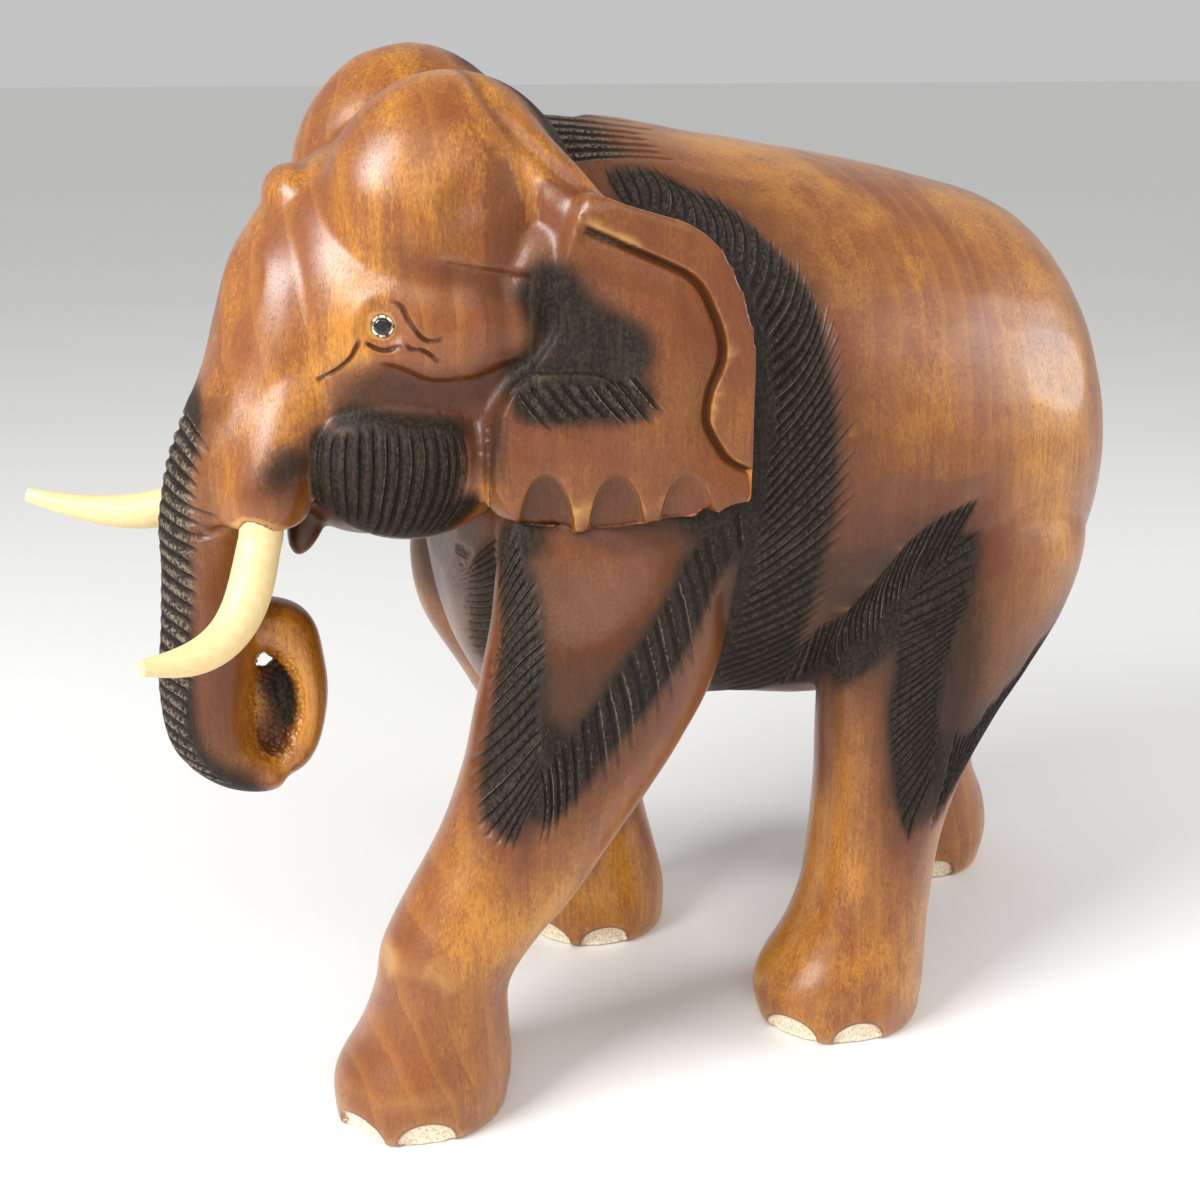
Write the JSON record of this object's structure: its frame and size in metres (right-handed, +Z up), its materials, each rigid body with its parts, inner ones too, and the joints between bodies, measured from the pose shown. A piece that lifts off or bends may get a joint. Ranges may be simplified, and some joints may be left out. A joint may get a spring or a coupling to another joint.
{
  "type": "carved wooden elephant",
  "caption": "Carved hardwood elephant statuette in a walking pose, with pull-out pale wood tusks and inlaid black bead eyes, for standing on a shelf.",
  "frame": {"origin": "centre of the bounding box at the soles of the feet", "axes": "the elephant faces -X, its left side is -Y, +Z is up, and the soles stand on Z = 0"},
  "size_m": [0.3583, 0.157, 0.3133],
  "materials": {
    "stained_wood": "orange-brown stained hardwood, airbrushed with dark brown and varnished to a soft gloss",
    "tusk_wood": "pale unstained close-grained wood, sanded and lightly waxed",
    "eye_white": "off-white filler, slightly chipped",
    "eye_black": "black resin bead, glossy"
  },
  "bodies": {
    "elephant": {"carving": "stained_wood", "eye_ring_left": "eye_white", "eye_ring_right": "eye_white", "eye_bead_left": "eye_black", "eye_bead_right": "eye_black"},
    "left_tusk": {"tusk_left": "tusk_wood"},
    "right_tusk": {"tusk_right": "tusk_wood"}
  },
  "joints": [
    {"name": "left_tusk_pull", "type": "slide", "parent": "elephant", "child": "left_tusk", "axis": [-0.1569, -0.1177, -0.9806], "range_m": [0, 0.02]},
    {"name": "right_tusk_pull", "type": "slide", "parent": "elephant", "child": "right_tusk", "axis": [-0.8236, 0.221, -0.5223], "range_m": [0, 0.02]}
  ]
}
